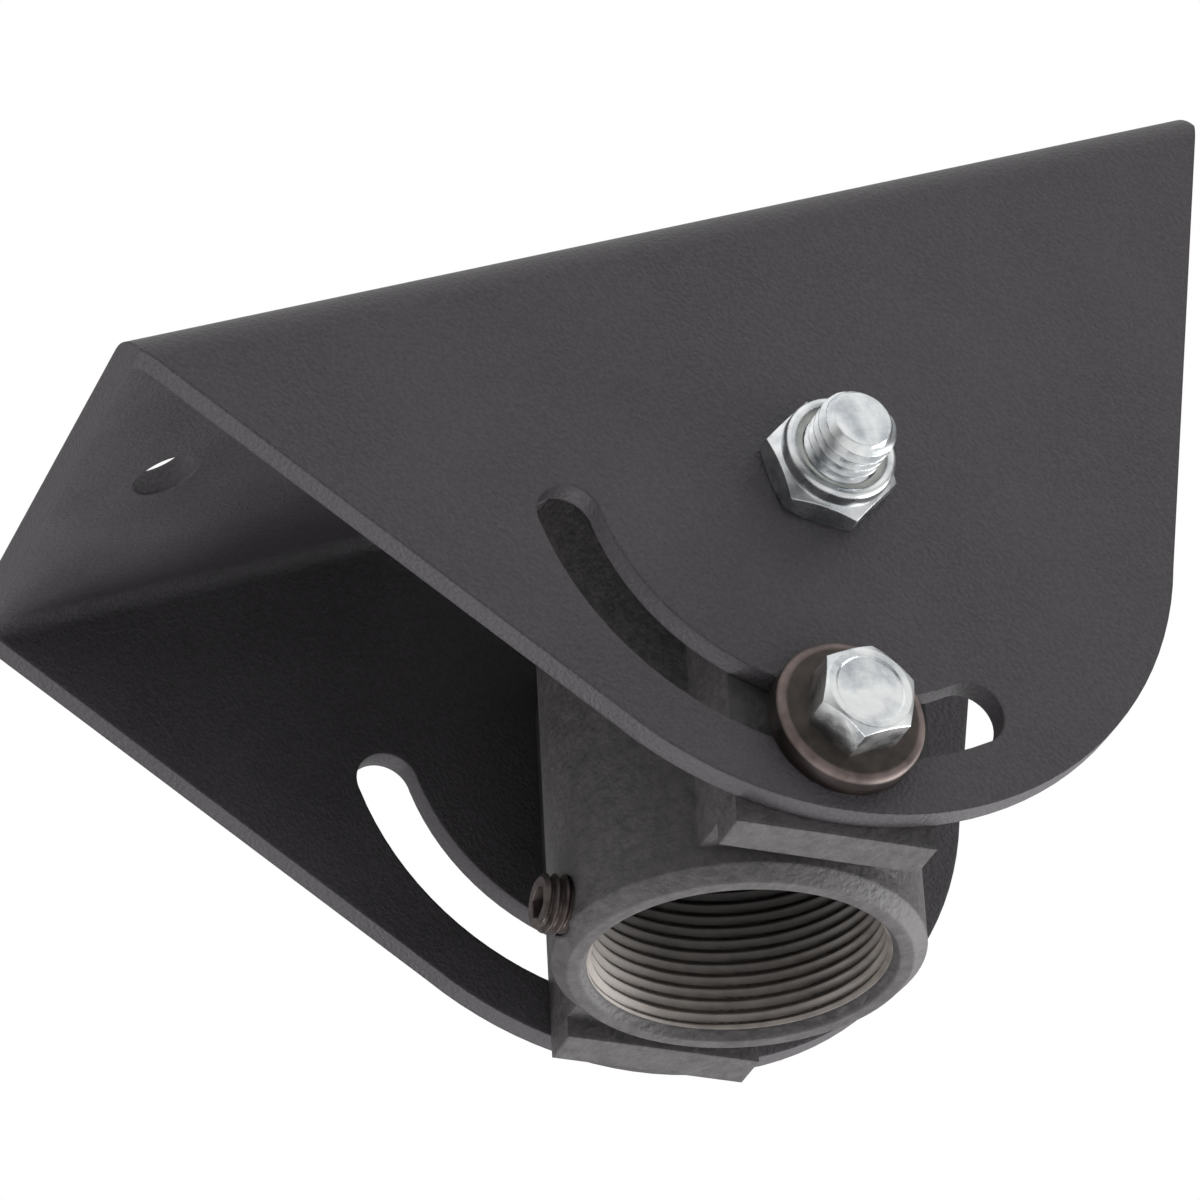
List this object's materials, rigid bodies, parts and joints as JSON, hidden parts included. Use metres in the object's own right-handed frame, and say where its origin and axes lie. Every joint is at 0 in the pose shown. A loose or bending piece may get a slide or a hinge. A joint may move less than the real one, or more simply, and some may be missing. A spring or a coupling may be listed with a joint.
{
  "type": "tilting ceiling bracket of a projector mount",
  "caption": "Folded steel channel for a sloped ceiling, with a threaded pipe coupler that tilts in arc slots and is clamped by side bolts.",
  "frame": {"origin": "centre of the plate's ceiling face", "axes": "+X along the channel, away from the side the coupler tilts to; +Y towards the pivot bolt's head; +Z out of the plate, into the ceiling"},
  "size_m": [0.2012, 0.1174, 0.1203],
  "materials": {
    "powder_coat": "fine-textured charcoal powder coat",
    "coupler_coat": "charcoal coat with a bare thread",
    "zinc_plate": "bright zinc",
    "nylon": "natural nylon",
    "dark_washer": "dark brown oxide",
    "black_oxide": "black oxide"
  },
  "bodies": {
    "bracket": {"ceiling_bracket": "powder_coat", "pivot_bolt": "zinc_plate", "pivot_lock_nut": "zinc_plate", "nut_nylon_ring": "nylon"},
    "coupler": {"pipe_coupler": "coupler_coat", "front_lock_bolt": "zinc_plate", "front_washer": "dark_washer", "back_lock_bolt": "zinc_plate", "back_washer": "dark_washer", "set_screw": "black_oxide"}
  },
  "joints": [
    {"name": "coupler_tilt", "type": "hinge", "parent": "bracket", "child": "coupler", "pos_m": [0, 0, -0.0508], "axis": [0, 1, 0], "range_deg": [-29, 70]}
  ]
}
